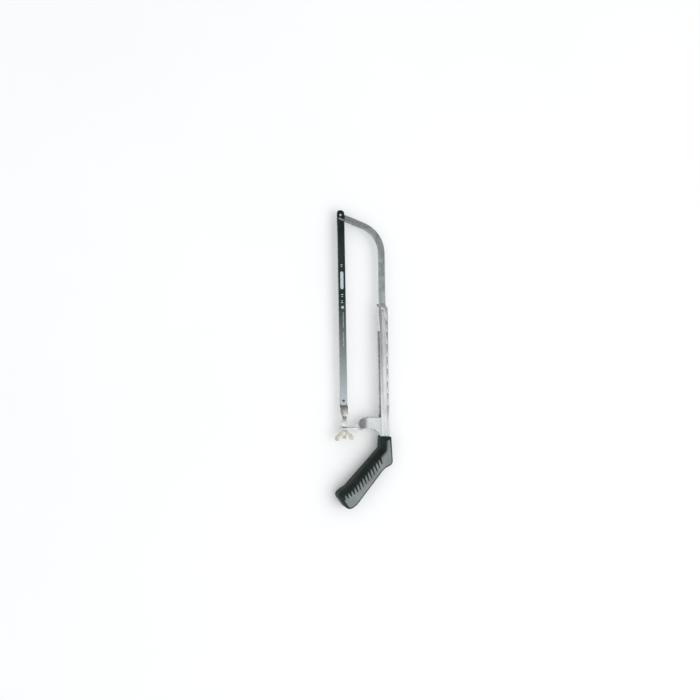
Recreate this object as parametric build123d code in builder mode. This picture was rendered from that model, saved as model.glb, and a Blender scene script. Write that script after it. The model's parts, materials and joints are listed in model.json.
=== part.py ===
"""Adjustable hacksaw: flat-bar front arm sliding in a channel frame, with a moulded handle.

Millimetres, +Z up. The saw lies on its side: +Y runs along the blade to the tip, +X to the
spine, and +Z is the saw's thickness. The origin is the centre of the bounding box's base.
Every sketch is drawn on SAW, the plane through the middle of the blade, whose own origin is
the centre of the rear blade pin.
"""
import os
from math import acos, atan2, cos, degrees, hypot, radians, sin

from build123d import *

# --- driving dimensions ----------------------------------------------------------------------
BLADE_X = -32.12  # the blade's line, in the part's frame
REAR_PIN_Y = -67.38
HALF_THICKNESS = 15.5  # from the handle's flat side to the middle of the blade

BLADE_CENTRES = 300.0  # between the two blade holes
BLADE_WIDTH = 12.7
BLADE_THICKNESS = 0.65
BLADE_HOLE_R = 2.1
BLADE_FRONT_END = 7.5  # past the front hole
BLADE_REAR_END = 6.0  # past the rear hole
BLADE_CORNER = 2.6
BLADE_FRONT_R = 5.6
TEETH_PER_INCH = 24
TOOTH_DEPTH = 0.75
TOOTHLESS_END = 17.0  # from a hole to the first tooth

BLADE_PIN_R = 2.0
PIN_DOME = 0.8
SEAT_FLOOR_Z = -0.40  # the ledge that the blade lies on, at both ends
FINGER_Z = 0.45  # underside of the finger over the blade's front end
FIT = 0.03  # radial room round rivets and screws
CUT = 1.0  # how far a cut runs past the face that it leaves by

BAR_WIDTH = 10.0
BAR_THICKNESS = 5.0
SPINE_X = 69.0  # centreline of the bar, from the blade's line
BEND_RADIUS = 46.0
BEND_CENTRE_Y = 240.0
BAR_REAR_Y = 98.0
PIN_OFFSET = 3.0  # the bar's straight stretch runs this far behind the front pin
TIP_PAST_PIN = 3.4
TIP_CORNER = 2.0
TIP_EYE_R = 5.6  # the eye round the front pin, under the blade's end
SEAT_REACH = 40.0  # longer than the tip, so that the slot is open all round
FINGER_LENGTH = 24.0
SHOULDER_X = 7.2  # where the slot for the blade's front end stops
FINGER_WIDTH = 2.6
FINGER_CORNER = 1.2
FINGER_TIP_PAST_PIN = 2.6

SHEET = 1.2
SHEET_BEND = 0.8  # inside radius of the folds
SLEEVE_FRONT_X = 62.0
SLEEVE_BACK_X = 77.0
SLEEVE_DEPTH = 13.0
SLEEVE_MOUTH_Y = 157.0
SLEEVE_TAIL_Y = -86.0
NOTCH_COUNT = 8
NOTCH_PITCH = 20.0
NOTCH_FIRST_Y = 128.0
NOTCH_X = 73.8
GROOVE_X = 67.0
GROOVE_WIDTH = 0.9
GROOVE_DEPTH = 0.35
GROOVE_END_Y = 143.0
MOUTH_SLANT_X = 7.0
MOUTH_SLANT_Y = 10.0
NOTCH_LENGTH = 5.0
NOTCH_WIDTH = 1.8

GUIDE_FRONT_Y = 152.0
GUIDE_REAR_Y = 112.0
GUIDE_PLATE = 1.4
GUIDE_WIDTH = 12.9
GUIDE_GAP = 0.05
GUIDE_RIVET_R = 1.2
GUIDE_RIVET_HEAD_R = 1.9
GUIDE_RIVET_HEAD = 0.8
GUIDE_RIVET_BITE = 2.0
GUIDE_RIVET_DOME = 0.5
SLIDE_GAP = 0.15
GUIDE_RIVET_Y = 145.0
STUD_R = 2.0
STUD_Y = 105.0
STUD_GAP = 0.2
STUD_CHAMFER = 0.3

ARM_STRIP = 4.0  # thickness of the rear arm's strip
ARM_WIDTH = 18.5
PAD_FRONT_Y = -41.5
PAD_REAR_Y = -46.5
PAD_LEFT_X = -7.0
PAD_RIGHT_X = 9.0
PAD_DEPTH = 16.5
TWIST_END_X = 41.0
TWIST_STEPS = 6
PAD_CORNER = 4.0
ROOT_GAP = 0.05
ROOT_UPPER_Y = -27.0  # upper edge of the strip where its twist ends
ROOT_LIP_DROP = 1.5  # how far the upper edge has fallen where it meets the channel
ROOT_BACK_DROP = 6.0  # and at the tang's back
ROOT_CURVE = (56.0, -51.5)  # on the lower edge, between the twist and the tang
TANG_BACK_X = 74.6
LIP = 1.6  # folded lip that closes the channel's open side beside the root
LIP_FRONT_Y = -30.0
LIP_REAR_Y = -58.5

NECK = 7.0  # square neck of the tension screw
NECK_GAP = 0.15
NECK_CORNER = 0.6
NECK_BITE = 3.0  # how far the neck runs up into the head
HEAD_WIDTH = 13.0
HEAD_THICKNESS = 5.2
HEAD_FRONT_CORNER = 4.0
HEAD_SHOULDER_CORNER = 2.5
HEAD_FRONT_Y = 6.5
HEAD_SEAT_REAR_Y = -8.6
HEAD_SHOULDER_Y = -23.5
HEAD_REAR_Y = -28.0
NECK_REAR_Y = -46.3
PIN_TOP_Z = 2.2
THREAD_R = 2.95
THREAD_PITCH = 1.0
THREAD_DEPTH = 0.35
THREAD_FLAT = 0.15  # half of a crest, as a share of the pitch
THREAD_LEAD_IN = 0.5
THREAD_END_Y = -60.8

WASHER_R = 6.5
WASHER_THICKNESS = 1.2
WASHER_BORE_R = 3.3
WASHER_GAP = 0.08
WASHER_CHAMFER = 0.2
NUT_BORE_R = 3.03
NUT_HUB_R = 5.3
NUT_TAPER = 0.9
NUT_RIM = 2.5  # length of the hub before it tapers
NUT_FRONT_Y = -47.9
NUT_REAR_Y = -54.5
EAR_REACH = 15.4
EAR_THICKNESS = 2.6
EAR_CORNER = 2.6
EAR_SHOULDER = 3.0
EAR_OUTLINE = [  # one ear: across from the screw's axis, and along from the nut's front
    (3.4, -0.8),
    (6.2, -1.6),
    (10.6, -5.4),
    (EAR_REACH, -9.4),
    (EAR_REACH, -15.6),
    (9.6, -15.6),
    (7.0, -9.2),
    (3.4, -6.2),
]

TANG_RIVETS = [(69.0, -68.0), (69.0, -80.0)]
TANG_RIVET_R = 2.5
TANG_RIVET_HEAD_R = 4.2
TANG_RIVET_HEAD = 1.7
TANG_SPACER_R = 4.5
TANG_RIVET_DOME = 1.0

HANDLE_EDGE = 7.5  # roundover of the handle's sides
HANDLE_CORNERS = [  # each corner of the outline with its rounding, from the back's top down
    ((77.8, -60.8), 0.0),
    ((79.9, -105.5), 8.5),
    ((64.5, -112.3), 22.0),
    ((16.5, -167.5), 14.0),
    ((2.5, -175.8), 9.5),
    ((-18.6, -147.2), 8.5),
    ((0.6, -136.4), 8.0),
    ((58.8, -78.6), 8.0),
    ((60.0, -59.3), 0.0),
]
HANDLE_RADII = [radius for _, radius in HANDLE_CORNERS[1:-1]]
POCKET_GAP = 0.1
POCKET_TOP_Y = -50.0  # the pockets are open past the handle's top
TANG_OUTLINE = [(61.2, -62.0), (61.2, -81.0), (43.0, -105.0), (52.5, -115.5), (64.5, -103.0)]
HOLLOW_LENGTH = 24.0
HOLLOW_WIDTH = 15.0
HOLLOW_DEPTH = 10.0
HANDLE_SCREWS = [(56.0, -101.0), (30.0, -127.0), (2.5, -154.0)]
SCREW_R = 1.75
SCREW_HEAD_R = 3.6
SCREW_HEAD = 2.2
SCREW_RECESS = 1.2
SCREW_BITE = 9.0
SCREW_CLEARANCE = 0.3
SCREW_HEAD_GAP = 0.2
SCREW_DOME = 0.8
SCREW_CROSS = 4.4
SCREW_CROSS_WIDTH = 0.9
SCREW_CROSS_DEPTH = 1.2
RIB_COUNT = 13
RIBS_FIRST = (57.0, -97.5)
RIBS_LAST = (-6.0, -152.5)
RIB_LENGTH = 24.0  # of the longest, just short of the middle of the row
RIB_TAPER = 1.9  # how fast the grooves shorten towards the row's ends
RIB_LONGEST = 0.45  # where the longest groove is, as a share of the row
RIB_GROOVE = 2.7
RIB_DEPTH = 1.3
RIB_SLANT = 19.0

SAW = Plane((BLADE_X, REAR_PIN_Y, HALF_THICKNESS))


def across(y):
    """The plane square across the saw at y: local x along X, local y along Z, facing -Y."""
    return Plane(SAW.from_local_coords((0, y, 0)), x_dir=(1, 0, 0), z_dir=(0, -1, 0))


def beside(x):
    """The plane square to X at x: local x along Y, local y along Z, facing +X."""
    return Plane(SAW.from_local_coords((x, 0, 0)), x_dir=(0, 1, 0), z_dir=(1, 0, 0))


os.makedirs("parts", exist_ok=True)

# --- blade -----------------------------------------------------------------------------------
tooth_pitch = 25.4 / TEETH_PER_INCH
tooth_count = int((BLADE_CENTRES - 2 * TOOTHLESS_END) / tooth_pitch)
teeth_front_y = BLADE_CENTRES - TOOTHLESS_END
tooth_x = -BLADE_WIDTH / 2
gullets = [(tooth_x - 1, teeth_front_y), (tooth_x, teeth_front_y)]
for tooth in range(tooth_count):
    tip_y = teeth_front_y - tooth * tooth_pitch
    gullets.append((tooth_x + TOOTH_DEPTH, tip_y - 0.25 * tooth_pitch))
    gullets.append((tooth_x, tip_y - tooth_pitch))
gullets.append((tooth_x - 1, teeth_front_y - tooth_count * tooth_pitch))

with BuildPart() as blade:
    with BuildSketch(SAW.offset(-BLADE_THICKNESS / 2)):
        with BuildLine():
            Polyline(
                (tooth_x, -BLADE_REAR_END),
                (-tooth_x, -BLADE_REAR_END),
                (-tooth_x, BLADE_CENTRES + BLADE_FRONT_END),
                (tooth_x, BLADE_CENTRES + BLADE_FRONT_END),
                close=True,
            )
        make_face()
        ends = vertices().group_by(Axis.Y)
        chamfer(ends[0], length=BLADE_CORNER)
        fillet(ends[-1], radius=BLADE_FRONT_R)
        with BuildLine():
            Polyline(*gullets, close=True)
        make_face(mode=Mode.SUBTRACT)
        with Locations((0, 0), (0, BLADE_CENTRES)):
            Circle(BLADE_HOLE_R, mode=Mode.SUBTRACT)
    extrude(amount=BLADE_THICKNESS)
blade.part.label = "blade"
export_step(blade.part, "parts/blade.step")

# --- front arm -------------------------------------------------------------------------------
# The straight stretch leaves the bend at a tangent and runs on just behind the front pin.
aim_y = BLADE_CENTRES - PIN_OFFSET
bend_x = SPINE_X - BEND_RADIUS
aim_distance = hypot(bend_x, aim_y - BEND_CENTRE_Y)
aim_bearing = degrees(atan2(aim_y - BEND_CENTRE_Y, -bend_x))
bend_angle = aim_bearing - degrees(acos(BEND_RADIUS / aim_distance))
bend_end = (
    bend_x + BEND_RADIUS * cos(radians(bend_angle)),
    BEND_CENTRE_Y + BEND_RADIUS * sin(radians(bend_angle)),
)
along = (-sin(radians(bend_angle)), cos(radians(bend_angle)))
tip_end = (along[0] * TIP_PAST_PIN, aim_y + along[1] * TIP_PAST_PIN)
finger_side = (BAR_WIDTH - FINGER_WIDTH) / 2
finger_middle = FINGER_TIP_PAST_PIN - FINGER_LENGTH / 2
finger_centre = (
    along[0] * finger_middle - along[1] * finger_side,
    aim_y + along[1] * finger_middle + along[0] * finger_side,
)

with BuildPart() as front_arm:
    with BuildSketch(SAW.offset(-BAR_THICKNESS / 2)):
        with BuildLine():
            Line((SPINE_X, BAR_REAR_Y), (SPINE_X, BEND_CENTRE_Y))
            CenterArc((bend_x, BEND_CENTRE_Y), BEND_RADIUS, 0, bend_angle)
            Line(bend_end, tip_end)
        trace(line_width=BAR_WIDTH)
        tip_corners = vertices().sort_by(Axis.X)[:2]
        fillet(tip_corners, radius=TIP_CORNER)
        with Locations((0, BLADE_CENTRES)):
            Circle(TIP_EYE_R)
    extrude(amount=BAR_THICKNESS)
    # The slot takes the blade's end; over it only a finger is left, along the arm's lower edge.
    with BuildSketch(SAW.offset(SEAT_FLOOR_Z)):
        with Locations((SHOULDER_X - SEAT_REACH / 2, BLADE_CENTRES)):
            Rectangle(SEAT_REACH, SEAT_REACH)
    extrude(amount=FINGER_Z - SEAT_FLOOR_Z, mode=Mode.SUBTRACT)
    with BuildSketch(SAW.offset(FINGER_Z)):
        with Locations((SHOULDER_X - SEAT_REACH / 2, BLADE_CENTRES)):
            Rectangle(SEAT_REACH, SEAT_REACH)
        with Locations(finger_centre):
            RectangleRounded(
                FINGER_LENGTH,
                FINGER_WIDTH,
                FINGER_CORNER,
                rotation=bend_angle + 90,
                mode=Mode.SUBTRACT,
            )
    extrude(amount=BAR_THICKNESS, mode=Mode.SUBTRACT)
    with BuildSketch(SAW.offset(-BAR_THICKNESS)):
        with Locations((0, BLADE_CENTRES)):
            Circle(BLADE_PIN_R + FIT)
        with Locations((SPINE_X, STUD_Y)):
            Circle(STUD_R + FIT)
    extrude(amount=2 * BAR_THICKNESS, mode=Mode.SUBTRACT)
front_arm.part.label = "front_arm"
export_step(front_arm.part, "parts/front_arm.step")

with BuildPart() as front_blade_pin:
    with BuildSketch(SAW.offset(-BAR_THICKNESS / 2)):
        with Locations((0, BLADE_CENTRES)):
            Circle(BLADE_PIN_R)
    extrude(amount=BAR_THICKNESS / 2 + SEAT_FLOOR_Z)
front_blade_pin.part.label = "front_blade_pin"
export_step(front_blade_pin.part, "parts/front_blade_pin.step")

stud_length = SLEEVE_DEPTH - 2 * SHEET - 2 * STUD_GAP
with BuildPart() as lock_stud:
    with BuildSketch(SAW.offset(-stud_length / 2)):
        with Locations((SPINE_X, STUD_Y)):
            Circle(STUD_R)
    extrude(amount=stud_length)
    chamfer(lock_stud.edges(), length=STUD_CHAMFER)
lock_stud.part.label = "lock_stud"
export_step(lock_stud.part, "parts/lock_stud.step")

# --- channel sleeve and its guide ------------------------------------------------------------
sleeve_width = SLEEVE_BACK_X - SLEEVE_FRONT_X
sleeve_length = SLEEVE_MOUTH_Y - SLEEVE_TAIL_Y
inside_depth = SLEEVE_DEPTH - 2 * SHEET
with BuildPart() as sleeve:
    with BuildSketch(across(SLEEVE_MOUTH_Y)):
        with Locations((SLEEVE_FRONT_X, 0)):
            Rectangle(sleeve_width, SLEEVE_DEPTH, align=(Align.MIN, Align.CENTER))
        fillet(vertices().group_by(Axis.X)[-1], radius=SHEET + SHEET_BEND)
    extrude(amount=sleeve_length)
    with BuildSketch(across(SLEEVE_MOUTH_Y)):
        with Locations((SLEEVE_FRONT_X, 0)):
            Rectangle(sleeve_width - SHEET, inside_depth, align=(Align.MIN, Align.CENTER))
        fillet(vertices().group_by(Axis.X)[-1], radius=SHEET_BEND)
    extrude(amount=sleeve_length, mode=Mode.SUBTRACT)
    with BuildSketch(SAW.offset(-SLEEVE_DEPTH)):
        with BuildLine():
            Polyline(
                (SLEEVE_BACK_X + CUT, SLEEVE_MOUTH_Y + CUT),
                (SLEEVE_BACK_X - MOUTH_SLANT_X, SLEEVE_MOUTH_Y + CUT),
                (SLEEVE_BACK_X - MOUTH_SLANT_X, SLEEVE_MOUTH_Y),
                (SLEEVE_BACK_X + CUT, SLEEVE_MOUTH_Y - MOUTH_SLANT_Y),
                close=True,
            )
        make_face()
        notch_middle_y = NOTCH_FIRST_Y - (NOTCH_COUNT - 1) * NOTCH_PITCH / 2
        with Locations((NOTCH_X, notch_middle_y)):
            with GridLocations(0, NOTCH_PITCH, 1, NOTCH_COUNT):
                SlotOverall(NOTCH_LENGTH, NOTCH_WIDTH, rotation=90)
        with Locations((GROOVE_X, GUIDE_RIVET_Y)):
            Circle(GUIDE_RIVET_R + FIT)
        with Locations(*TANG_RIVETS):
            Circle(TANG_RIVET_R + FIT)
    extrude(amount=2 * SLEEVE_DEPTH, mode=Mode.SUBTRACT)
    for face_z in (-SLEEVE_DEPTH / 2, SLEEVE_DEPTH / 2 - GROOVE_DEPTH):
        with BuildSketch(SAW.offset(face_z)):
            with Locations((GROOVE_X, GROOVE_END_Y)):
                Rectangle(GROOVE_WIDTH, sleeve_length, align=(Align.CENTER, Align.MAX))
        extrude(amount=GROOVE_DEPTH, mode=Mode.SUBTRACT)
sleeve.part.label = "sleeve"
export_step(sleeve.part, "parts/sleeve.step")

guide_depth = inside_depth - 2 * GUIDE_GAP
with BuildPart() as slide_guide:
    with BuildSketch(across(GUIDE_FRONT_Y)):
        with Locations((SLEEVE_FRONT_X, 0)):
            Rectangle(GUIDE_PLATE, SLEEVE_DEPTH, align=(Align.MAX, Align.CENTER))
            Rectangle(GUIDE_WIDTH, guide_depth, align=(Align.MIN, Align.CENTER))
        with Locations((SPINE_X, 0)):
            Rectangle(
                BAR_WIDTH + 2 * SLIDE_GAP, BAR_THICKNESS + 2 * SLIDE_GAP, mode=Mode.SUBTRACT
            )
    extrude(amount=GUIDE_FRONT_Y - GUIDE_REAR_Y)
    for side in (-1, 1):
        with BuildSketch(SAW.offset(side * guide_depth / 2)):
            with Locations((GROOVE_X, GUIDE_RIVET_Y)):
                Circle(GUIDE_RIVET_R + FIT)
        extrude(amount=-side * (GUIDE_RIVET_BITE + FIT), mode=Mode.SUBTRACT)
    plate_edges = slide_guide.edges().filter_by(Axis.Y).group_by(Axis.X)[0]
    fillet(plate_edges, radius=GUIDE_PLATE / 2)
slide_guide.part.label = "slide_guide"
export_step(slide_guide.part, "parts/slide_guide.step")

for side, name in ((1, "near"), (-1, "far")):
    rivet_plane = Plane(
        SAW.from_local_coords((GROOVE_X, GUIDE_RIVET_Y, side * SLEEVE_DEPTH / 2)),
        z_dir=(0, 0, side),
    )
    with BuildPart() as guide_rivet:
        with BuildSketch(rivet_plane):
            Circle(GUIDE_RIVET_HEAD_R)
        extrude(amount=GUIDE_RIVET_HEAD)
        fillet(guide_rivet.edges().group_by(Axis.Z)[-1 if side > 0 else 0], radius=GUIDE_RIVET_DOME)
        with BuildSketch(rivet_plane):
            Circle(GUIDE_RIVET_R)
        extrude(amount=-(SHEET + GUIDE_GAP + GUIDE_RIVET_BITE))
    guide_rivet.part.label = f"guide_rivet_{name}"
    export_step(guide_rivet.part, f"parts/guide_rivet_{name}.step")

# --- rear arm --------------------------------------------------------------------------------
pad_middle_y = (PAD_FRONT_Y + PAD_REAR_Y) / 2
root_z = inside_depth / 2 - ROOT_GAP - ARM_STRIP / 2  # the root lies under the near wall
with BuildPart() as rear_arm:
    # The flat root: it enters the channel from its open side and runs on into the handle.
    with BuildSketch(SAW.offset(root_z - ARM_STRIP / 2)):
        with BuildLine():
            Polyline(
                (TWIST_END_X, ROOT_UPPER_Y),
                (SLEEVE_FRONT_X, ROOT_UPPER_Y - ROOT_LIP_DROP),
                (TANG_BACK_X, ROOT_UPPER_Y - ROOT_BACK_DROP),
                (TANG_BACK_X, SLEEVE_TAIL_Y),
                *reversed(TANG_OUTLINE),
            )
            Spline(
                TANG_OUTLINE[0],
                ROOT_CURVE,
                (TWIST_END_X, ROOT_UPPER_Y - ARM_WIDTH),
                tangents=((0, 1), (-1, 0)),
            )
            Line((TWIST_END_X, ROOT_UPPER_Y - ARM_WIDTH), (TWIST_END_X, ROOT_UPPER_Y))
        make_face()
        with Locations(*TANG_RIVETS):
            Circle(TANG_RIVET_R + FIT, mode=Mode.SUBTRACT)
        with Locations(HANDLE_SCREWS[0]):
            Circle(SCREW_R + SCREW_CLEARANCE, mode=Mode.SUBTRACT)
    extrude(amount=ARM_STRIP)
    lip_depth = SLEEVE_DEPTH / 2 + root_z
    with BuildSketch(beside(SLEEVE_FRONT_X - ROOT_GAP)):
        with Locations(((LIP_FRONT_Y + LIP_REAR_Y) / 2, root_z - lip_depth / 2)):
            Rectangle(LIP_FRONT_Y - LIP_REAR_Y, lip_depth)
    extrude(amount=-LIP)
    # The strip turns through a right angle on its way to the pad.
    for step in range(TWIST_STEPS + 1):
        share = step / TWIST_STEPS
        turn = share * share * (3 - 2 * share)
        section = beside(PAD_RIGHT_X + share * (TWIST_END_X - PAD_RIGHT_X))
        middle_y = pad_middle_y + turn * (ROOT_UPPER_Y - ARM_WIDTH / 2 - pad_middle_y)
        with BuildSketch(section):
            with Locations((middle_y, turn * root_z)):
                Rectangle(
                    ARM_STRIP,
                    PAD_DEPTH + turn * (ARM_WIDTH - PAD_DEPTH),
                    rotation=90 * turn,
                )
    loft()
    with BuildSketch(beside(PAD_LEFT_X)):
        with Locations((pad_middle_y, 0)):
            Rectangle(ARM_STRIP, PAD_DEPTH)
    extrude(amount=PAD_RIGHT_X - PAD_LEFT_X)
    fillet(rear_arm.edges().filter_by(Axis.Y).group_by(Axis.X)[0], radius=PAD_CORNER)
    with BuildSketch(across(PAD_FRONT_Y + CUT)):
        Rectangle(NECK + 2 * NECK_GAP, NECK + 2 * NECK_GAP)
    extrude(amount=PAD_FRONT_Y - PAD_REAR_Y + 2 * CUT, mode=Mode.SUBTRACT)
rear_arm.part.label = "rear_arm"
export_step(rear_arm.part, "parts/rear_arm.step")

spacer_length = inside_depth / 2 + root_z - ARM_STRIP / 2 - 2 * FIT
for number, rivet_at in enumerate(TANG_RIVETS, start=1):
    with BuildPart() as tang_rivet:
        with BuildSketch(SAW.offset(-SLEEVE_DEPTH / 2)):
            with Locations(rivet_at):
                Circle(TANG_RIVET_R)
        extrude(amount=SLEEVE_DEPTH)
        for side in (-1, 1):
            with BuildSketch(SAW.offset(side * SLEEVE_DEPTH / 2)):
                with Locations(rivet_at):
                    Circle(TANG_RIVET_HEAD_R)
            extrude(amount=side * TANG_RIVET_HEAD)
        fillet(tang_rivet.edges().group_by(Axis.Z)[0], radius=TANG_RIVET_DOME)
        fillet(tang_rivet.edges().group_by(Axis.Z)[-1], radius=TANG_RIVET_DOME)
    tang_rivet.part.label = f"tang_rivet_{number}"
    export_step(tang_rivet.part, f"parts/tang_rivet_{number}.step")
    with BuildPart() as tang_spacer:
        with BuildSketch(SAW.offset(root_z - ARM_STRIP / 2 - FIT)):
            with Locations(rivet_at):
                Circle(TANG_SPACER_R)
                Circle(TANG_RIVET_R + FIT, mode=Mode.SUBTRACT)
        extrude(amount=-spacer_length)
    tang_spacer.part.label = f"tang_spacer_{number}"
    export_step(tang_spacer.part, f"parts/tang_spacer_{number}.step")

# --- tension screw and wing nut --------------------------------------------------------------
with BuildPart() as tension_screw:
    with BuildSketch(SAW.offset(-HEAD_THICKNESS / 2)):
        half_head = HEAD_WIDTH / 2
        half_neck = NECK / 2
        with BuildLine():
            Polyline(
                (-half_head, HEAD_FRONT_Y),
                (half_head, HEAD_FRONT_Y),
                (half_head, HEAD_SHOULDER_Y),
                (half_neck, HEAD_REAR_Y),
                (-half_neck, HEAD_REAR_Y),
                (-half_head, HEAD_SHOULDER_Y),
                close=True,
            )
        make_face()
        fillet(vertices().group_by(Axis.Y)[-1], radius=HEAD_FRONT_CORNER)
        fillet(vertices().group_by(Axis.Y)[1], radius=HEAD_SHOULDER_CORNER)
        Circle(BLADE_PIN_R + FIT, mode=Mode.SUBTRACT)
    extrude(amount=HEAD_THICKNESS)
    with BuildSketch(SAW.offset(SEAT_FLOOR_Z)):
        with Locations((0, HEAD_SEAT_REAR_Y)):
            Rectangle(2 * HEAD_WIDTH, SEAT_REACH, align=(Align.CENTER, Align.MIN))
    extrude(amount=HEAD_THICKNESS, mode=Mode.SUBTRACT)
    with BuildSketch(across(HEAD_REAR_Y + NECK_BITE)):
        RectangleRounded(NECK, NECK, NECK_CORNER)
    extrude(amount=HEAD_REAR_Y + NECK_BITE - NECK_REAR_Y)
    with BuildSketch(SAW):
        with BuildLine():
            root_r = THREAD_R - THREAD_DEPTH
            turn_y = NECK_REAR_Y + THREAD_LEAD_IN
            profile = [(0, turn_y), (THREAD_R, turn_y)]
            while turn_y - THREAD_PITCH > THREAD_END_Y + THREAD_LEAD_IN:
                profile.append((THREAD_R, turn_y - THREAD_FLAT * THREAD_PITCH))
                profile.append((root_r, turn_y - THREAD_PITCH / 2))
                profile.append((THREAD_R, turn_y - (1 - THREAD_FLAT) * THREAD_PITCH))
                turn_y -= THREAD_PITCH
            Polyline(*profile, (root_r, THREAD_END_Y), (0, THREAD_END_Y), close=True)
        make_face()
    revolve(axis=Axis(SAW.origin, (0, 1, 0)))
tension_screw.part.label = "tension_screw"
export_step(tension_screw.part, "parts/tension_screw.step")

with BuildPart() as rear_blade_pin:
    with BuildSketch(SAW.offset(-HEAD_THICKNESS / 2)):
        Circle(BLADE_PIN_R)
    extrude(amount=HEAD_THICKNESS / 2 + PIN_TOP_Z)
    fillet(rear_blade_pin.edges().group_by(Axis.Z)[-1], radius=PIN_DOME)
rear_blade_pin.part.label = "rear_blade_pin"
export_step(rear_blade_pin.part, "parts/rear_blade_pin.step")

with BuildPart() as thrust_washer:
    with BuildSketch(across(PAD_REAR_Y - WASHER_GAP)):
        Circle(WASHER_R)
        Circle(WASHER_BORE_R, mode=Mode.SUBTRACT)
    extrude(amount=WASHER_THICKNESS)
    rims = thrust_washer.edges().filter_by(GeomType.CIRCLE).sort_by(SortBy.RADIUS)
    chamfer(rims[-2:], length=WASHER_CHAMFER)
thrust_washer.part.label = "thrust_washer"
export_step(thrust_washer.part, "parts/thrust_washer.step")

with BuildPart() as wing_nut:
    with BuildSketch(SAW):
        with BuildLine():
            Polyline(
                (0, NUT_FRONT_Y),
                (NUT_HUB_R, NUT_FRONT_Y),
                (NUT_HUB_R, NUT_FRONT_Y - NUT_RIM),
                (NUT_HUB_R - NUT_TAPER, NUT_REAR_Y),
                (0, NUT_REAR_Y),
                close=True,
            )
        make_face()
    revolve(axis=Axis(SAW.origin, (0, 1, 0)))
    with BuildSketch(SAW.offset(-EAR_THICKNESS / 2)):
        with BuildLine():
            Polyline(*[(x, NUT_FRONT_Y + y) for x, y in EAR_OUTLINE], close=True)
        make_face()
        fillet(vertices().group_by(Axis.Y)[0], radius=EAR_CORNER)
        fillet(vertices().group_by(Axis.X)[-1].sort_by(Axis.Y)[-1], radius=EAR_SHOULDER)
        mirror(about=Plane.YZ)
    extrude(amount=EAR_THICKNESS)
    with BuildSketch(across(NUT_FRONT_Y + CUT)):
        Circle(NUT_BORE_R)
    extrude(amount=NUT_FRONT_Y - NUT_REAR_Y + 2 * CUT, mode=Mode.SUBTRACT)
wing_nut.part.label = "wing_nut"
export_step(wing_nut.part, "parts/wing_nut.step")

# --- handle ----------------------------------------------------------------------------------
with BuildSketch() as handle_outline:
    with BuildLine():
        FilletPolyline(*[point for point, _ in HANDLE_CORNERS], radius=HANDLE_RADII)
        Line(HANDLE_CORNERS[-1][0], HANDLE_CORNERS[0][0])
    make_face()

with BuildSketch() as tail_pocket:
    with Locations((SLEEVE_FRONT_X - POCKET_GAP, SLEEVE_TAIL_Y - POCKET_GAP)):
        Rectangle(
            sleeve_width + 2 * POCKET_GAP,
            POCKET_TOP_Y - SLEEVE_TAIL_Y,
            align=(Align.MIN, Align.MIN),
        )

tang_front_x = TANG_OUTLINE[0][0]
tang_pocket = [
    (tang_front_x, POCKET_TOP_Y),
    *TANG_OUTLINE,
    (TANG_BACK_X, SLEEVE_TAIL_Y),
    (TANG_BACK_X, POCKET_TOP_Y),
]
for side, name in ((1, "near"), (-1, "far")):
    with BuildPart() as handle_half:
        with BuildSketch(SAW):
            add(handle_outline.sketch)
        extrude(amount=side * HALF_THICKNESS)
        rim = handle_half.faces().sort_by(Axis.Z)[-1 if side > 0 else 0].edges()
        fillet(rim, radius=HANDLE_EDGE)
        # Room for the channel's tail, the tang, the rivets' heads, and the hollow grip.
        with BuildSketch(SAW):
            add(tail_pocket.sketch)
        extrude(amount=side * (SLEEVE_DEPTH / 2 + POCKET_GAP), mode=Mode.SUBTRACT)
        if side > 0:
            with BuildSketch(SAW):
                with BuildLine():
                    Polyline(*tang_pocket, close=True)
                make_face()
                offset(amount=POCKET_GAP, kind=Kind.INTERSECTION)
            extrude(amount=inside_depth / 2, mode=Mode.SUBTRACT)
        with BuildSketch(SAW):
            with Locations(*TANG_RIVETS):
                Circle(TANG_RIVET_HEAD_R + POCKET_GAP)
        extrude(
            amount=side * (SLEEVE_DEPTH / 2 + TANG_RIVET_HEAD + POCKET_GAP), mode=Mode.SUBTRACT
        )
        with BuildSketch(SAW):
            for first, second in zip(HANDLE_SCREWS, HANDLE_SCREWS[1:]):
                middle = ((first[0] + second[0]) / 2, (first[1] + second[1]) / 2)
                slope = degrees(atan2(second[1] - first[1], second[0] - first[0]))
                with Locations(middle):
                    SlotOverall(HOLLOW_LENGTH, HOLLOW_WIDTH, rotation=slope)
        extrude(amount=side * HOLLOW_DEPTH, mode=Mode.SUBTRACT)
        # Ribs: the grooves between them.
        with BuildSketch(SAW.offset(side * HALF_THICKNESS)):
            for groove in range(RIB_COUNT + 1):
                share = groove / RIB_COUNT
                groove_at = (
                    RIBS_FIRST[0] + share * (RIBS_LAST[0] - RIBS_FIRST[0]),
                    RIBS_FIRST[1] + share * (RIBS_LAST[1] - RIBS_FIRST[1]),
                )
                length = RIB_LENGTH * (1 - RIB_TAPER * (share - RIB_LONGEST) ** 2)
                with Locations(groove_at):
                    SlotOverall(length, RIB_GROOVE, rotation=90 + RIB_SLANT)
        extrude(amount=-side * RIB_DEPTH, mode=Mode.SUBTRACT)
        # The screws enter from the far half and bite into the near one.
        with BuildSketch(SAW):
            with Locations(*HANDLE_SCREWS):
                Circle(SCREW_R + FIT)
        if side > 0:
            extrude(amount=SCREW_BITE + FIT, mode=Mode.SUBTRACT)
        else:
            extrude(amount=-HALF_THICKNESS, mode=Mode.SUBTRACT)
            with BuildSketch(SAW.offset(-HALF_THICKNESS)):
                with Locations(*HANDLE_SCREWS):
                    Circle(SCREW_HEAD_R + SCREW_HEAD_GAP)
            extrude(amount=SCREW_RECESS + SCREW_HEAD, mode=Mode.SUBTRACT)
    handle_half.part.label = f"handle_{name}"
    export_step(handle_half.part, f"parts/handle_{name}.step")

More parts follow.
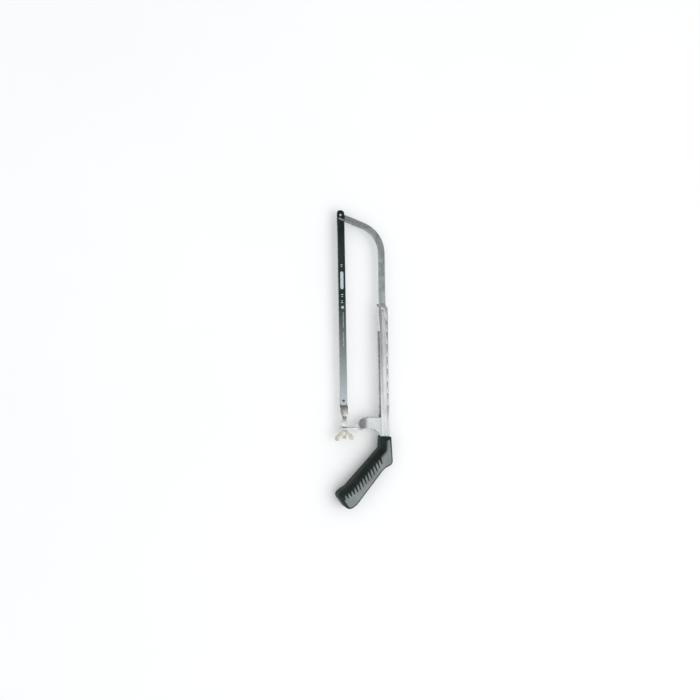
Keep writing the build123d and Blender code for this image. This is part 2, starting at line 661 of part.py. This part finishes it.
head_top_z = -HALF_THICKNESS + SCREW_RECESS + SCREW_HEAD
for number, screw_at in enumerate(HANDLE_SCREWS, start=1):
    with BuildPart() as handle_screw:
        with BuildSketch(SAW.offset(head_top_z)):
            with Locations(screw_at):
                Circle(SCREW_HEAD_R)
        extrude(amount=-SCREW_HEAD)
        fillet(handle_screw.edges().group_by(Axis.Z)[0], radius=SCREW_DOME)
        with BuildSketch(SAW.offset(head_top_z)):
            with Locations(screw_at):
                Circle(SCREW_R)
        extrude(amount=SCREW_BITE - head_top_z)
        with BuildSketch(SAW.offset(head_top_z - SCREW_HEAD)):
            with Locations(screw_at):
                Rectangle(SCREW_CROSS, SCREW_CROSS_WIDTH)
                Rectangle(SCREW_CROSS_WIDTH, SCREW_CROSS)
        extrude(amount=SCREW_CROSS_DEPTH, mode=Mode.SUBTRACT)
    handle_screw.part.label = f"handle_screw_{number}"
    export_step(handle_screw.part, f"parts/handle_screw_{number}.step")
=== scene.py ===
"""Looks of the adjustable hacksaw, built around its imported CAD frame. Metres, +Z up.

The saw lies on its side: +Y runs along the blade to the tip, +X towards the spine. Lengths are
written in millimetres times MM. Places come from the frame: REAR_PIN is the rear blade pin, at
the middle of the blade's thickness, and most shapes are given from it.
"""

import json
from math import cos, pi, radians, sin, sqrt, tau

import bmesh
import bpy
from mathutils import Matrix, Vector
from mathutils.geometry import delaunay_2d_cdt

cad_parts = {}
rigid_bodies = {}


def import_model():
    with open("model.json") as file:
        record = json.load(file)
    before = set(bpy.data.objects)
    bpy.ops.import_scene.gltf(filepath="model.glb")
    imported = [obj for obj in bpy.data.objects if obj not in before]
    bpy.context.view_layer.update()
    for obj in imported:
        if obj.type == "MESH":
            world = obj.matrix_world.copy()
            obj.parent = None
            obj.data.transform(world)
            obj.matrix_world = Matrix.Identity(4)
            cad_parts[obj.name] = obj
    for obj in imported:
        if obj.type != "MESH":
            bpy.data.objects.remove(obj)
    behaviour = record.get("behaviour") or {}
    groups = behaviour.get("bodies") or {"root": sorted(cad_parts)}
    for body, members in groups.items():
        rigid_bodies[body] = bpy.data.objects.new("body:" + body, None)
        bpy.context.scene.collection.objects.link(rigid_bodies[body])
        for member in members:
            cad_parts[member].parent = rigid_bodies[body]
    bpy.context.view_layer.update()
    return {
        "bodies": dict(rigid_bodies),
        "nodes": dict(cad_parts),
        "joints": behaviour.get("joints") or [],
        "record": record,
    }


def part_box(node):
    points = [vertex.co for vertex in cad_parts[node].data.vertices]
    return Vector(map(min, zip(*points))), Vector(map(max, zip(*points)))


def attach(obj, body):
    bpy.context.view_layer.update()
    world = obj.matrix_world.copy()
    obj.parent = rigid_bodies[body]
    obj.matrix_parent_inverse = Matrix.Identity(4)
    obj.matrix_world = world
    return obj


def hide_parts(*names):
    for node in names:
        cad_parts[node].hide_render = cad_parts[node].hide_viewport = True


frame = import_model()

MM = 0.001
JOINTS = {joint["name"]: joint for joint in frame["joints"]}
REAR_PIN = Vector(JOINTS["blade_swing"]["pos_m"])
pin_low, pin_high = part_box("front_blade_pin")
FRONT_PIN_Y = (pin_low.y + pin_high.y) / 2
blade_low, blade_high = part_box("blade")
SLOTS = {entry["node"]: entry["material_slot"] for entry in frame["record"]["subparts"]}


# --- node helpers ----------------------------------------------------------------------------


class Shader:
    """A material's node tree, with one short method for each kind of node used here."""

    def __init__(self, name):
        self.material = bpy.data.materials.new(name)
        self.material.use_nodes = True
        self.tree = self.material.node_tree
        self.surface = self.tree.nodes["Principled BSDF"]
        self.place = self.tree.nodes.new("ShaderNodeTexCoord").outputs["Object"]

    def link(self, source, target):
        self.tree.links.new(source, target)

    def set(self, **values):
        for name, value in values.items():
            self.surface.inputs[name.replace("_", " ")].default_value = value

    def stretched(self, scale):
        node = self.tree.nodes.new("ShaderNodeMapping")
        node.inputs["Scale"].default_value = scale
        self.link(self.place, node.inputs["Vector"])
        return node.outputs["Vector"]

    def noise(self, scale, detail=4.0, roughness=0.5, stretch=None, distortion=0.0):
        node = self.tree.nodes.new("ShaderNodeTexNoise")
        node.inputs["Scale"].default_value = scale
        node.inputs["Detail"].default_value = detail
        node.inputs["Roughness"].default_value = roughness
        node.inputs["Distortion"].default_value = distortion
        source = self.stretched(stretch) if stretch else self.place
        self.link(source, node.inputs["Vector"])
        return node.outputs["Fac"]

    def ramp(self, source, stops):
        node = self.tree.nodes.new("ShaderNodeValToRGB")
        points = node.color_ramp.elements
        while len(points) < len(stops):
            points.new(0.5)
        for point, (position, colour) in zip(points, stops):
            point.position = position
            shade = colour if isinstance(colour, tuple) else (colour, colour, colour)
            point.color = (*shade, 1.0)
        self.link(source, node.inputs["Fac"])
        return node.outputs["Color"]

    def remap(self, source, low, high, to_low, to_high):
        node = self.tree.nodes.new("ShaderNodeMapRange")
        for name, value in zip(("From Min", "From Max", "To Min", "To Max"), (low, high, to_low, to_high)):
            node.inputs[name].default_value = value
        self.link(source, node.inputs["Value"])
        return node.outputs["Result"]

    def mix(self, share, first, second):
        node = self.tree.nodes.new("ShaderNodeMix")
        node.data_type = "RGBA"
        self.link(share, node.inputs["Factor"])
        for value, socket in ((first, node.inputs["A"]), (second, node.inputs["B"])):
            if isinstance(value, tuple):
                socket.default_value = (*value, 1.0)
            else:
                self.link(value, socket)
        return node.outputs["Result"]

    def add(self, first, second, first_weight, second_weight):
        scaled = []
        for source, weight in ((first, first_weight), (second, second_weight)):
            node = self.tree.nodes.new("ShaderNodeMath")
            node.operation = "MULTIPLY"
            node.inputs[1].default_value = weight
            self.link(source, node.inputs[0])
            scaled.append(node.outputs["Value"])
        total = self.tree.nodes.new("ShaderNodeMath")
        total.operation = "ADD"
        for index, source in enumerate(scaled):
            self.link(source, total.inputs[index])
        return total.outputs["Value"]

    def along(self, axis):
        """The point's place along one axis, in metres."""
        split = self.tree.nodes.new("ShaderNodeSeparateXYZ")
        self.link(self.place, split.inputs["Vector"])
        return split.outputs[axis]

    def distance_from_middle(self):
        """How far a point lies above or below the middle of the saw's thickness, in metres."""
        shifted = self.tree.nodes.new("ShaderNodeMath")
        shifted.operation = "SUBTRACT"
        shifted.inputs[1].default_value = REAR_PIN.z
        self.link(self.along("Z"), shifted.inputs[0])
        size = self.tree.nodes.new("ShaderNodeMath")
        size.operation = "ABSOLUTE"
        self.link(shifted.outputs["Value"], size.inputs[0])
        return size.outputs["Value"]

    def bump(self, height, distance, strength=1.0):
        node = self.tree.nodes.new("ShaderNodeBump")
        node.inputs["Distance"].default_value = distance
        node.inputs["Strength"].default_value = strength
        self.link(height, node.inputs["Height"])
        self.link(node.outputs["Normal"], self.surface.inputs["Normal"])

    def colour(self, source):
        self.link(source, self.surface.inputs["Base Color"])

    def roughness(self, source):
        self.link(source, self.surface.inputs["Roughness"])


# --- materials -------------------------------------------------------------------------------

LIT_GREY_ABOVE = 14.1 * MM  # heights on the handle, from its middle, between which the flats' painted highlight sets in
LIT_GREY_WHOLLY = 14.9 * MM
REFLECTION_REACH = 165 * MM  # how far up the blade, from its rear pin, a painted reflection pales the enamel
BARE_BEYOND = 6.1 * MM  # from the blade's middle towards the teeth, where the steel is bare
PAINTED_WITHIN = 4.7 * MM

def chrome_sheet():
    """Bright chrome over rolled sheet: faint rolling lines, soft stains, a few dull patches."""
    m = Shader("chrome_sheet")
    m.set(Metallic=0.72)
    stain = m.noise(38.0, detail=6.0, roughness=0.62)
    rolled = m.noise(900.0, detail=2.0, stretch=(1.0, 0.03, 1.0))
    m.colour(
        m.ramp(
            stain,
            [
                (0.30, (0.58, 0.59, 0.60)),
                (0.52, (0.72, 0.73, 0.73)),
                (0.75, (0.80, 0.80, 0.79)),
            ],
        )
    )
    m.roughness(m.remap(m.add(stain, rolled, 0.6, 0.4), 0.35, 0.65, 0.34, 0.22))
    m.bump(rolled, 0.00002, 0.25)
    return m.material


def plated_bar():
    """Dull zinc plate on drawn bar: a mottled bloom in greys, with long drawing lines."""
    m = Shader("plated_bar")
    m.set(Metallic=0.55)
    bloom = m.noise(120.0, detail=8.0, roughness=0.68, distortion=0.6)
    spangle = m.noise(34.0, detail=3.0, roughness=0.5)
    drawn = m.noise(1400.0, detail=2.0, stretch=(1.0, 0.05, 1.0))
    mottle = m.add(bloom, spangle, 0.6, 0.4)
    m.colour(
        m.ramp(
            mottle,
            [
                (0.36, (0.20, 0.21, 0.21)),
                (0.47, (0.33, 0.35, 0.35)),
                (0.56, (0.43, 0.46, 0.46)),
                (0.68, (0.56, 0.59, 0.60)),
            ],
        )
    )
    m.roughness(m.remap(mottle, 0.35, 0.65, 0.58, 0.40))
    m.bump(m.add(bloom, drawn, 0.7, 0.3), 0.00010, 0.5)
    return m.material


def blade_paint():
    """Dark enamel over ground steel, bare at the teeth; towards the handle a painted reflection pales the
    enamel.
    """
    m = Shader("blade_paint")
    m.set(Metallic=0.97)
    coat = m.noise(60.0, detail=6.0, roughness=0.6, stretch=(1.0, 0.25, 1.0))
    scuffs = m.noise(420.0, detail=5.0, roughness=0.7, stretch=(1.0, 0.12, 1.0))
    enamel = m.ramp(coat, [(0.35, (0.055, 0.085, 0.070)), (0.7, (0.115, 0.145, 0.135))])
    # painted reflection: pale grey mixed into the enamel, fully at the rear pin and fading out up the blade
    painted_light = m.remap(m.along("Y"), REAR_PIN.y, REAR_PIN.y + REFLECTION_REACH, 1.0, 0.0)
    enamel_and_reflection = m.mix(painted_light, enamel, (0.66, 0.71, 0.72))
    bare = m.remap(m.along("X"), REAR_PIN.x - BARE_BEYOND, REAR_PIN.x - PAINTED_WITHIN, 1.0, 0.0)
    rubbed = m.ramp(m.add(bare, scuffs, 1.0, 0.45), [(0.42, 0.0), (0.9, 1.0)])
    m.colour(m.mix(rubbed, enamel_and_reflection, (0.52, 0.55, 0.55)))
    m.roughness(m.remap(scuffs, 0.3, 0.7, 0.36, 0.26))
    m.bump(m.add(coat, scuffs, 0.5, 0.5), 0.00003, 0.6)
    return m.material


def print_ink():
    """Pale screen-printed ink, thin in places."""
    m = Shader("print_ink")
    wear = m.noise(800.0, detail=5.0, roughness=0.7)
    m.colour(m.ramp(wear, [(0.35, (0.30, 0.36, 0.40)), (0.6, (0.56, 0.64, 0.69))]))
    m.roughness(m.remap(wear, 0.3, 0.7, 0.62, 0.45))
    m.bump(wear, 0.00002, 0.4)
    return m.material


def turned_steel(name, light, dark, rough_low, rough_high, metallic=1.0):
    """Plated or turned steel for pins, screws and rivets: fine turning marks and tarnish."""
    m = Shader(name)
    m.set(Metallic=metallic)
    tarnish = m.noise(160.0, detail=6.0, roughness=0.6)
    turning = m.noise(2600.0, detail=2.0)
    m.colour(m.mix(m.remap(tarnish, 0.35, 0.7, 0.0, 1.0), light, dark))
    m.roughness(m.remap(tarnish, 0.35, 0.65, rough_low, rough_high))
    m.bump(m.add(tarnish, turning, 0.5, 0.5), 0.00004, 0.4)
    return m.material


def cast_nickel():
    """Cast wing nut: slightly yellow nickel over a grainy casting."""
    m = Shader("cast_nickel")
    m.set(Metallic=0.9)
    grain = m.noise(1500.0, detail=4.0, roughness=0.6)
    tarnish = m.noise(140.0, detail=5.0, roughness=0.6)
    m.colour(
        m.ramp(
            tarnish,
            [
                (0.35, (0.56, 0.52, 0.42)),
                (0.55, (0.78, 0.75, 0.65)),
                (0.7, (0.88, 0.86, 0.79)),
            ],
        )
    )
    m.roughness(m.remap(grain, 0.3, 0.7, 0.30, 0.45))
    m.bump(grain, 0.00010, 0.5)
    return m.material


def handle_plastic():
    """Moulded black plastic with spark-eroded grain; painted highlight makes the flats and the ribs' crests
    grey, painted shade leaves the roundovers near black.
    """
    m = Shader("handle_plastic")
    m.set(Specular_IOR_Level=0.22)
    grain = m.noise(2600.0, detail=3.0, roughness=0.55)
    cloud = m.noise(45.0, detail=4.0, roughness=0.6)
    # painted shade: a near-black copy of the plastic, for the low roundovers and the rib grooves
    shaded_black = m.ramp(cloud, [(0.35, (0.008, 0.016, 0.012)), (0.65, (0.016, 0.026, 0.022))])
    # painted highlight: a lit grey copy of the plastic, for the high flats and the rib crests
    painted_light = m.ramp(cloud, [(0.35, (0.185, 0.203, 0.207)), (0.65, (0.245, 0.262, 0.266))])
    height = m.distance_from_middle()
    # height above the middle chooses painted highlight over painted shade
    m.colour(m.mix(m.remap(height, LIT_GREY_ABOVE, LIT_GREY_WHOLLY, 0.0, 1.0), shaded_black, painted_light))
    m.roughness(m.remap(m.add(grain, cloud, 0.6, 0.4), 0.35, 0.65, 0.60, 0.44))
    m.bump(grain, 0.00008, 0.5)
    return m.material


MATERIALS = {
    "chrome_sheet": chrome_sheet(),
    "plated_bar": plated_bar(),
    "blade_paint": blade_paint(),
    "pin_steel": turned_steel("pin_steel", (0.86, 0.86, 0.85), (0.55, 0.55, 0.54), 0.16, 0.32, metallic=0.4),
    "nickel_steel": turned_steel("nickel_steel", (0.92, 0.91, 0.88), (0.74, 0.73, 0.69), 0.20, 0.36),
    "wing_nut_cast": cast_nickel(),
    "handle_plastic": handle_plastic(),
    "screw_steel": turned_steel("screw_steel", (0.30, 0.31, 0.32), (0.14, 0.14, 0.15), 0.30, 0.45),
    "rivet_steel": turned_steel("rivet_steel", (0.66, 0.67, 0.66), (0.42, 0.43, 0.42), 0.28, 0.45),
}
INK = print_ink()


# --- mesh helpers ----------------------------------------------------------------------------

MERGE_WITHIN = 0.002 * MM
FLAT_WITHIN = 2.0  # degrees between triangles that are merged into one flat face
SHARP_OVER = 35.0  # degrees past which an edge is broken
BEVEL_STEPS = 3
SOFTENING = 0.5
EASED_SMOOTH = 32.0  # degrees below which neighbouring faces are shaded as one
MOULDED_SMOOTH = 60.0
BLADE_SMOOTH = 30.0

def new_piece(name, mesh, material):
    piece = bpy.data.objects.new(name, mesh)
    bpy.context.scene.collection.objects.link(piece)
    mesh.materials.clear()
    mesh.materials.append(material)
    return piece


def stand_for(piece, node):
    """The piece takes a CAD node's place: its body and its share of the look."""
    body = next(name for name, empty in frame["bodies"].items() if frame["nodes"][node].parent == empty)
    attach(piece, body)
    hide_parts(node)


def copied_mesh(node, flat_angle=0.0):
    """The node's mesh as a closed shell, with triangles within flat_angle of each other merged."""
    mesh = frame["nodes"][node].data.copy()
    work = bmesh.new()
    work.from_mesh(mesh)
    bmesh.ops.remove_doubles(work, verts=work.verts, dist=MERGE_WITHIN)
    if flat_angle:
        bmesh.ops.dissolve_limit(
            work, angle_limit=radians(flat_angle), verts=work.verts, edges=work.edges
        )
    work.to_mesh(mesh)
    work.free()
    custom_normals = mesh.attributes.get("custom_normal")
    if custom_normals:
        mesh.attributes.remove(custom_normals)
    return mesh


def apply_modifiers(piece):
    """Bakes the modifiers into the mesh, so that the piece keeps plain geometry."""
    shape = piece.evaluated_get(bpy.context.evaluated_depsgraph_get())
    mesh = bpy.data.meshes.new_from_object(shape)
    piece.modifiers.clear()
    piece.data = mesh


def smooth_below(piece, angle):
    piece.data.polygons.foreach_set("use_smooth", [True] * len(piece.data.polygons))
    piece.data.set_sharp_from_angle(angle=radians(angle))


def eased(node, width):
    """A copy of the CAD node with its sharp edges broken, as filed, tumbled or pressed."""
    piece = new_piece(node + "_eased", copied_mesh(node, FLAT_WITHIN), MATERIALS[SLOTS[node]])
    bevel = piece.modifiers.new("edges", "BEVEL")
    bevel.width = width
    bevel.segments = BEVEL_STEPS
    bevel.limit_method = "ANGLE"
    bevel.angle_limit = radians(SHARP_OVER)
    bevel.use_clamp_overlap = True
    apply_modifiers(piece)
    smooth_below(piece, EASED_SMOOTH)
    stand_for(piece, node)


def moulded(node, voxel, rounds, move=None):
    """A copy of the CAD node rebuilt as one soft skin, as cast metal or moulded plastic is."""
    piece = new_piece(node + "_moulded", copied_mesh(node), MATERIALS[SLOTS[node]])
    remesh = piece.modifiers.new("skin", "REMESH")
    remesh.mode = "VOXEL"
    remesh.voxel_size = voxel
    apply_modifiers(piece)
    if move:
        for vertex in piece.data.vertices:
            vertex.co = move(vertex.co)
    soften = piece.modifiers.new("soften", "SMOOTH")
    soften.factor = SOFTENING
    soften.iterations = rounds
    apply_modifiers(piece)
    piece.data.materials.clear()
    piece.data.materials.append(MATERIALS[SLOTS[node]])
    smooth_below(piece, MOULDED_SMOOTH)
    stand_for(piece, node)


def from_pin(x, y, z=0.0):
    """A point given in millimetres from the rear blade pin."""
    return REAR_PIN + Vector((x, y, z)) * MM


# --- blade -----------------------------------------------------------------------------------

BLADE_HALF_THICKNESS = (blade_high.z - blade_low.z) / 2
TOOTH_PITCH = 25.4 * MM / 24
TOOTH_DEPTH = 0.75 * MM
TOOTHLESS_END = 17 * MM  # from each pin to the first tooth
TEETH_FRONT_Y = FRONT_PIN_Y - TOOTHLESS_END
TOOTH_COUNT = int((FRONT_PIN_Y - REAR_PIN.y - 2 * TOOTHLESS_END) / TOOTH_PITCH)
GULLET_AT = 0.25  # the gullet's bottom and the end of the tooth's back, as shares of the pitch
BACK_AT = 0.86
BACK_DEPTH = 0.16  # of the tooth's depth
SET_WAVE = 9.3 * MM
SET_REACH = 0.12 * MM
SET_ROOT = 3.4 * MM
SET_FADE = 6 * MM
BLADE_CHAMFER = 2.6 * MM
BLADE_ROUND_R = 5.6 * MM
ROUND_STEPS = 8
HOLE_R = 2.1 * MM
HOLE_SIDES = 28
HOLE_CLEAR = 0.98  # of the hole's radius, inside which a face is left out
INNER_COLUMNS = (1.3, 2.0, 2.8, 3.6, 6.35)  # millimetres in from the toothed edge
INNER_ROWS_SPARED = 20  # at each end


def blade_outline():
    """The blade's edge, counter-clockwise from the rear corner on the toothed side."""
    left, right = blade_low.x, blade_high.x
    points = [
        Vector((left, blade_low.y + BLADE_CHAMFER)),
        Vector((left + BLADE_CHAMFER, blade_low.y)),
        Vector((right - BLADE_CHAMFER, blade_low.y)),
        Vector((right, blade_low.y + BLADE_CHAMFER)),
    ]
    for centre_x, start in ((right - BLADE_ROUND_R, 0.0), (left + BLADE_ROUND_R, pi / 2)):
        centre = Vector((centre_x, blade_high.y - BLADE_ROUND_R))
        for step in range(ROUND_STEPS + 1):
            angle = start + pi / 2 * step / ROUND_STEPS
            points.append(centre + BLADE_ROUND_R * Vector((cos(angle), sin(angle))))
    points.append(Vector((left, TEETH_FRONT_Y)))
    for tooth in range(TOOTH_COUNT):
        tip_y = TEETH_FRONT_Y - tooth * TOOTH_PITCH
        points.append(Vector((left + TOOTH_DEPTH, tip_y - GULLET_AT * TOOTH_PITCH)))
        points.append(Vector((left + BACK_DEPTH * TOOTH_DEPTH, tip_y - BACK_AT * TOOTH_PITCH)))
        points.append(Vector((left, tip_y - TOOTH_PITCH)))
    return points


def set_offset(point):
    """How far the wavy set carries a point of the blade's middle up or down."""
    reach = max(0.0, 1 - (point.x - blade_low.x) / SET_ROOT)
    last_tooth_y = TEETH_FRONT_Y - TOOTH_COUNT * TOOTH_PITCH
    fade = min(1.0, max(0.0, min(TEETH_FRONT_Y - point.y, point.y - last_tooth_y) / SET_FADE))
    return SET_REACH * fade * reach * reach * sin(tau * point.y / SET_WAVE)


def hole_rim(centre):
    angles = [side * tau / HOLE_SIDES for side in range(HOLE_SIDES)]
    return [centre + HOLE_R * Vector((cos(angle), sin(angle))) for angle in angles]


def build_blade():
    """The toothed, set blade with its end holes: one flat net, doubled and closed at its rims."""
    outline = blade_outline()
    centres = [Vector((REAR_PIN.x, hole_y)) for hole_y in (REAR_PIN.y, FRONT_PIN_Y)]
    inner = []
    row_count = int((TEETH_FRONT_Y - blade_low.y) / TOOTH_PITCH)
    rows = range(INNER_ROWS_SPARED, row_count - INNER_ROWS_SPARED)
    for column in INNER_COLUMNS:
        x = blade_low.x + column * MM
        inner += [Vector((x, TEETH_FRONT_Y - row * TOOTH_PITCH)) for row in rows]
    points = list(outline)
    loops = [list(range(len(outline)))]
    for hole in map(hole_rim, centres):
        loops.append(list(range(len(points), len(points) + len(hole))))
        points += hole
    edges = [(loop[i], loop[(i + 1) % len(loop)]) for loop in loops for i in range(len(loop))]
    flat, _, faces, *_ = delaunay_2d_cdt(points + inner, edges, [], 1, 1e-7)
    kept = []
    for face in faces:
        middle = sum((flat[i] for i in face), Vector((0, 0))) / len(face)
        if all((middle - centre).length > HOLE_R * HOLE_CLEAR for centre in centres):
            kept.append(face)
    mesh = bpy.data.meshes.new("blade_toothed")
    work = bmesh.new()
    upper = [work.verts.new((p.x, p.y, REAR_PIN.z + set_offset(p) + BLADE_HALF_THICKNESS)) for p in flat]
    lower = [work.verts.new((p.x, p.y, REAR_PIN.z + set_offset(p) - BLADE_HALF_THICKNESS)) for p in flat]
    for face in kept:
        work.faces.new([upper[i] for i in face])
        work.faces.new([lower[i] for i in reversed(face)])
    twin = dict(zip(upper, lower))
    rim = [edge for edge in work.edges if len(edge.link_faces) == 1 and edge.verts[0] in twin]
    for edge in rim:
        first, second = edge.verts
        work.faces.new([first, twin[first], twin[second], second])
    bmesh.ops.recalc_face_normals(work, faces=work.faces)
    loose = [vertex for vertex in work.verts if not vertex.link_faces]
    bmesh.ops.delete(work, geom=loose, context="VERTS")
    work.to_mesh(mesh)
    work.free()
    piece = new_piece("blade_toothed", mesh, MATERIALS["blade_paint"])
    smooth_below(piece, BLADE_SMOOTH)
    stand_for(piece, "blade")


CORNER_STEPS = 4


def rounded_bar(work, centre_x, centre_y, width, length, corner, base_z, height):
    """Adds one printed mark: a low block with rounded ends."""
    corners = []
    for sign_x, sign_y, start in ((1, 1, 0), (-1, 1, 90), (-1, -1, 180), (1, -1, 270)):
        middle = Vector((centre_x + sign_x * (width / 2 - corner), centre_y + sign_y * (length / 2 - corner)))
        for step in range(CORNER_STEPS + 1):
            angle = radians(start + 90 * step / CORNER_STEPS)
            corners.append(middle + corner * Vector((cos(angle), sin(angle))))
    low = [work.verts.new((p.x, p.y, base_z)) for p in corners]
    high = [work.verts.new((p.x, p.y, base_z + height)) for p in corners]
    work.faces.new(high)
    work.faces.new(list(reversed(low)))
    for i in range(len(low)):
        j = (i + 1) % len(low)
        work.faces.new([low[i], low[j], high[j], high[i]])


# Printed marks on the blade: (across, along, width, length) in millimetres from the rear pin.
PRINT_MARKS = [
    (0.2, 219.5, 3.2, 1.2),
    (0.2, 216.6, 2.2, 1.0),
    (0.4, 194.5, 5.2, 28.5),
    (0.6, 171.6, 3.6, 1.4),
    (0.6, 168.4, 3.0, 1.2),
    (0.2, 161.4, 2.4, 1.2),
    (0.2, 158.6, 3.4, 1.1),
    (0.9, 151.0, 4.6, 4.4),
]
MARK_ROUNDING = 0.45  # of a mark's shorter side
INK_HEIGHT = 0.03 * MM
INK_SUNK = 0.005 * MM
TEXT_BARS = [(142.0, 7), (109.0, 6)]  # where each faint line of bars starts, and how many
TEXT_ACROSS = 1.6  # these are in millimetres too
TEXT_PITCH = 3.8
TEXT_WIDTH = 1.0
TEXT_CORNER = 0.3
TEXT_LENGTH = 2.6
TEXT_UNEVEN = 0.8  # how far the bars' lengths vary either way
TEXT_RHYTHM = 2.3  # radians from one bar to the next


def build_print():
    """Generic bars and a pill shape, where the real blade is printed."""
    mesh = bpy.data.meshes.new("blade_print")
    work = bmesh.new()
    top = REAR_PIN.z + BLADE_HALF_THICKNESS - INK_SUNK
    for x, y, width, length in PRINT_MARKS:
        centre = from_pin(x, y)
        corner = MARK_ROUNDING * min(width, length) * MM
        rounded_bar(work, centre.x, centre.y, width * MM, length * MM, corner, top, INK_HEIGHT)
    for start, count in TEXT_BARS:
        for bar in range(count):
            length = TEXT_LENGTH + TEXT_UNEVEN * sin(TEXT_RHYTHM * bar + start)
            centre = from_pin(TEXT_ACROSS, start - TEXT_PITCH * bar)
            width, corner = TEXT_WIDTH * MM, TEXT_CORNER * MM
            rounded_bar(work, centre.x, centre.y, width, length * MM, corner, top, INK_HEIGHT)
    work.to_mesh(mesh)
    work.free()
    piece = new_piece("blade_print", mesh, INK)
    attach(piece, "blade")


# --- handle ----------------------------------------------------------------------------------

# The finger side of the handle's outline, in millimetres from the rear pin.
FINGER_SIDE = [(60.0, -59.3), (58.8, -78.6), (0.6, -136.4), (-18.6, -147.2)]
CROWN_REACH = 22.0 * MM  # how far in from the finger side the handle's crown starts to fall
CROWN_EDGE = 0.60  # thickness left at the edge itself


def finger_side_distance(point):
    distances = []
    for first, second in zip(FINGER_SIDE, FINGER_SIDE[1:]):
        start, end = from_pin(*first).to_2d(), from_pin(*second).to_2d()
        stretch = end - start
        share = (point - start).dot(stretch) / stretch.length_squared
        foot = start + stretch * min(1.0, max(0.0, share))
        distances.append((point - foot).length)
    return min(distances)


def crowned(point):
    """Thins the handle towards the fingers, so that its side rolls over instead of standing."""
    inward = min(1.0, finger_side_distance(point.to_2d()) / CROWN_REACH)
    thickness = CROWN_EDGE + (1 - CROWN_EDGE) * sqrt(1 - (1 - inward) ** 2)
    return Vector((point.x, point.y, REAR_PIN.z + (point.z - REAR_PIN.z) * thickness))


# --- the saw ---------------------------------------------------------------------------------

build_blade()
build_print()
for half in ("handle_near", "handle_far"):
    moulded(half, voxel=0.6 * MM, rounds=2, move=crowned)
moulded("wing_nut", voxel=0.3 * MM, rounds=4)
moulded("rear_arm", voxel=0.5 * MM, rounds=5)
for metal, edge in (
    ("front_arm", 0.5 * MM),
    ("sleeve", 0.25 * MM),
    ("slide_guide", 0.25 * MM),
    ("tension_screw", 0.3 * MM),
):
    eased(metal, edge)
for node, part in frame["nodes"].items():
    part.data.materials.clear()
    part.data.materials.append(MATERIALS[SLOTS[node]])


# --- studio ----------------------------------------------------------------------------------

VIEW_FROM_SIDE = radians(18)  # the camera leans out on the blade's side
VIEW_ROLL = radians(0.96)
VIEW_DISTANCE = 1.12
FRAME_WIDTH = 1.132  # of the floor seen across the picture, at the saw's height
VIEW_CENTRE = from_pin(12.3, 82.0)
FLOOR_HALF = 6.0
KEY_PLACE = Vector((0.9, -0.5, 1.7))
KEY_SIZE = 1.6
KEY_POWER = 9
MIRROR_FADE = {"From Min": -0.16, "From Max": 0.14, "To Min": 1.15, "To Max": 0.02}


def add_camera():
    camera = bpy.data.objects.new("camera", bpy.data.cameras.new("camera"))
    bpy.context.scene.collection.objects.link(camera)
    bpy.context.scene.camera = camera
    back = Vector((-sin(VIEW_FROM_SIDE), 0, cos(VIEW_FROM_SIDE)))
    level = Vector((cos(VIEW_FROM_SIDE), 0, sin(VIEW_FROM_SIDE)))
    along = Vector((0, 1, 0))
    right = level * cos(VIEW_ROLL) - along * sin(VIEW_ROLL)
    up = level * sin(VIEW_ROLL) + along * cos(VIEW_ROLL)
    turn = Matrix((right, up, back)).transposed().to_4x4()
    camera.matrix_world = Matrix.Translation(VIEW_CENTRE + back * VIEW_DISTANCE) @ turn
    camera.data.sensor_width = 36.0
    camera.data.lens = camera.data.sensor_width * VIEW_DISTANCE / FRAME_WIDTH


def add_floor():
    mesh = bpy.data.meshes.new("floor")
    signs = ((-1, -1), (1, -1), (1, 1), (-1, 1))
    corners = [(sign_x * FLOOR_HALF, sign_y * FLOOR_HALF, 0) for sign_x, sign_y in signs]
    mesh.from_pydata(corners, [], [(0, 1, 2, 3)])
    m = Shader("floor")
    m.set(Roughness=0.9, Specular_IOR_Level=0.1)
    m.colour(m.ramp(m.noise(3.0), [(0.3, (0.90, 0.90, 0.90)), (0.7, (0.92, 0.92, 0.92))]))
    floor = new_piece("floor", mesh, m.material)


def add_key_light():
    """One soft lamp, aimed at the middle of the saw."""
    data = bpy.data.lights.new("key", "AREA")
    data.shape = "RECTANGLE"
    data.size = KEY_SIZE
    data.size_y = KEY_SIZE
    data.energy = KEY_POWER
    light = bpy.data.objects.new("key", data)
    bpy.context.scene.collection.objects.link(light)
    light.location = KEY_PLACE
    light.rotation_euler = (-KEY_PLACE).to_track_quat("-Z", "Y").to_euler()
    light.visible_glossy = False  # the sky alone is what metal mirrors


def add_sky():
    """Even light on matt surfaces, while what metal mirrors fades from dark at +Y to bright."""
    world = bpy.data.worlds.new("studio")
    bpy.context.scene.world = world
    world.use_nodes = True
    tree = world.node_tree
    even = tree.nodes["Background"]
    even.inputs["Color"].default_value = (0.93, 0.95, 0.96, 1)
    even.inputs["Strength"].default_value = 1.02
    mirrored = tree.nodes.new("ShaderNodeBackground")
    mirrored.inputs["Color"].default_value = (0.93, 0.96, 0.98, 1)
    split = tree.nodes.new("ShaderNodeSeparateXYZ")
    fade = tree.nodes.new("ShaderNodeMapRange")
    fade.interpolation_type = "SMOOTHSTEP"
    for name, value in MIRROR_FADE.items():
        fade.inputs[name].default_value = value
    choice = tree.nodes.new("ShaderNodeMixShader")
    tree.links.new(tree.nodes.new("ShaderNodeTexCoord").outputs["Generated"], split.inputs["Vector"])
    tree.links.new(split.outputs["Y"], fade.inputs["Value"])
    tree.links.new(fade.outputs["Result"], mirrored.inputs["Strength"])
    tree.links.new(tree.nodes.new("ShaderNodeLightPath").outputs["Is Glossy Ray"], choice.inputs["Fac"])
    tree.links.new(even.outputs["Background"], choice.inputs[1])
    tree.links.new(mirrored.outputs["Background"], choice.inputs[2])
    tree.links.new(choice.outputs["Shader"], tree.nodes["World Output"].inputs["Surface"])


add_camera()
add_floor()
add_sky()
add_key_light()
bpy.context.scene.view_settings.view_transform = "Standard"
